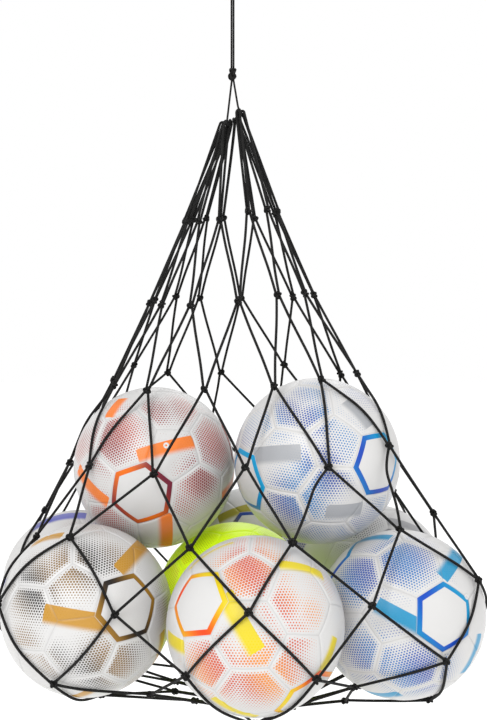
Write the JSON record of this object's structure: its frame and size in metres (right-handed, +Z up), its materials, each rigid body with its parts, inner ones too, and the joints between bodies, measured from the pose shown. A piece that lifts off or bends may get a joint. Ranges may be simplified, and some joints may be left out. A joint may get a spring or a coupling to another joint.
{
  "type": "mesh ball bag",
  "caption": "Black knotted cord net bag hung by a doubled draw cord and closing knot, drawn round a stacked load of printed footballs.",
  "frame": {"origin": "inside top of the hanging eye, where the draw cord's bight rests on its hook", "axes": "+Z up, -Y towards the front of the bag, +X to the right seen from the front; the bag hangs along -Z"},
  "size_m": [0.6728, 0.6954, 1.0355],
  "materials": {
    "net_cord": "black braided polyethylene cord, slight sheen",
    "draw_cord": "black braided cord, slight sheen",
    "cover_white": "glossy stitched synthetic leather with a fine grain and printed colours",
    "bladder": "matt rubber",
    "valve": "matt black rubber"
  },
  "bodies": {
    "hang_eye": {"hang_eye": "draw_cord", "eye_knot": "draw_cord"},
    "hang_cord": {"hang_cord_left": "draw_cord", "hang_cord_right": "draw_cord"},
    "closing_knot": {"closing_knot": "draw_cord"},
    "bag": {"neck_cord": "draw_cord", "top_loops": "net_cord", "knot_row_1": "net_cord", "knot_row_2": "net_cord", "knot_row_3": "net_cord", "knot_row_4": "net_cord", "knot_row_5": "net_cord", "knot_row_6": "net_cord", "knot_row_7": "net_cord", "knot_row_8": "net_cord", "knot_row_9": "net_cord", "mesh_row_1": "net_cord", "mesh_row_2": "net_cord", "mesh_row_3": "net_cord", "mesh_row_4": "net_cord", "mesh_row_5": "net_cord", "mesh_row_6": "net_cord", "mesh_row_7": "net_cord", "mesh_row_8": "net_cord", "mesh_row_9": "net_cord", "base_ring": "net_cord", "base_knot": "net_cord"},
    "ball_front": {"ball_front_cover": "cover_white", "ball_front_bladder": "bladder", "ball_front_valve": "valve"},
    "ball_left": {"ball_left_cover": "cover_white", "ball_left_bladder": "bladder", "ball_left_valve": "valve"},
    "ball_right": {"ball_right_cover": "cover_white", "ball_right_bladder": "bladder", "ball_right_valve": "valve"},
    "ball_middle": {"ball_middle_cover": "cover_white", "ball_middle_bladder": "bladder", "ball_middle_valve": "valve"},
    "ball_back_left": {"ball_back_left_cover": "cover_white", "ball_back_left_bladder": "bladder", "ball_back_left_valve": "valve"},
    "ball_back_right": {"ball_back_right_cover": "cover_white", "ball_back_right_bladder": "bladder", "ball_back_right_valve": "valve"},
    "ball_back": {"ball_back_cover": "cover_white", "ball_back_bladder": "bladder", "ball_back_valve": "valve"},
    "ball_upper_left": {"ball_upper_left_cover": "cover_white", "ball_upper_left_bladder": "bladder", "ball_upper_left_valve": "valve"},
    "ball_upper_right": {"ball_upper_right_cover": "cover_white", "ball_upper_right_bladder": "bladder", "ball_upper_right_valve": "valve"},
    "ball_upper_back": {"ball_upper_back_cover": "cover_white", "ball_upper_back_bladder": "bladder", "ball_upper_back_valve": "valve"}
  },
  "joints": [
    {"name": "eye_sway", "type": "hinge", "parent": "hang_eye", "child": "hang_cord", "pos_m": [0, 0, -0.041], "axis": [0, 1, 0], "range_deg": [-25, 25]},
    {"name": "cord_twist", "type": "hinge", "parent": "hang_cord", "child": "closing_knot", "pos_m": [0, 0, -0.156], "axis": [0, 0, 1], "range_deg": [-90, 90]},
    {"name": "bag_sway", "type": "hinge", "parent": "closing_knot", "child": "bag", "pos_m": [0, 0, -0.156], "axis": [1, 0, 0], "range_deg": [-20, 20]},
    {"name": "ball_front_turn", "type": "hinge", "parent": "bag", "child": "ball_front", "pos_m": [0.03, -0.217, -0.883], "axis": [0, 0, 1], "continuous": true},
    {"name": "ball_left_turn", "type": "hinge", "parent": "bag", "child": "ball_left", "pos_m": [-0.187, -0.144, -0.878], "axis": [0, 0, 1], "continuous": true},
    {"name": "ball_right_turn", "type": "hinge", "parent": "bag", "child": "ball_right", "pos_m": [0.223, -0.109, -0.89], "axis": [0, 0, 1], "continuous": true},
    {"name": "ball_middle_turn", "type": "hinge", "parent": "bag", "child": "ball_middle", "pos_m": [0.004, 0.003, -0.894], "axis": [0, 0, 1], "continuous": true},
    {"name": "ball_back_left_turn", "type": "hinge", "parent": "bag", "child": "ball_back_left", "pos_m": [-0.226, 0.084, -0.886], "axis": [0, 0, 1], "continuous": true},
    {"name": "ball_back_right_turn", "type": "hinge", "parent": "bag", "child": "ball_back_right", "pos_m": [0.206, 0.112, -0.881], "axis": [0, 0, 1], "continuous": true},
    {"name": "ball_back_turn", "type": "hinge", "parent": "bag", "child": "ball_back", "pos_m": [0.032, 0.25, -0.868], "axis": [0, 0, 1], "continuous": true},
    {"name": "ball_upper_left_turn", "type": "hinge", "parent": "bag", "child": "ball_upper_left", "pos_m": [-0.107, -0.034, -0.703], "axis": [0, 0, 1], "continuous": true},
    {"name": "ball_upper_right_turn", "type": "hinge", "parent": "bag", "child": "ball_upper_right", "pos_m": [0.113, -0.089, -0.69], "axis": [0, 0, 1], "continuous": true},
    {"name": "ball_upper_back_turn", "type": "hinge", "parent": "bag", "child": "ball_upper_back", "pos_m": [-0.122, 0.187, -0.72], "axis": [0, 0, 1], "continuous": true}
  ]
}
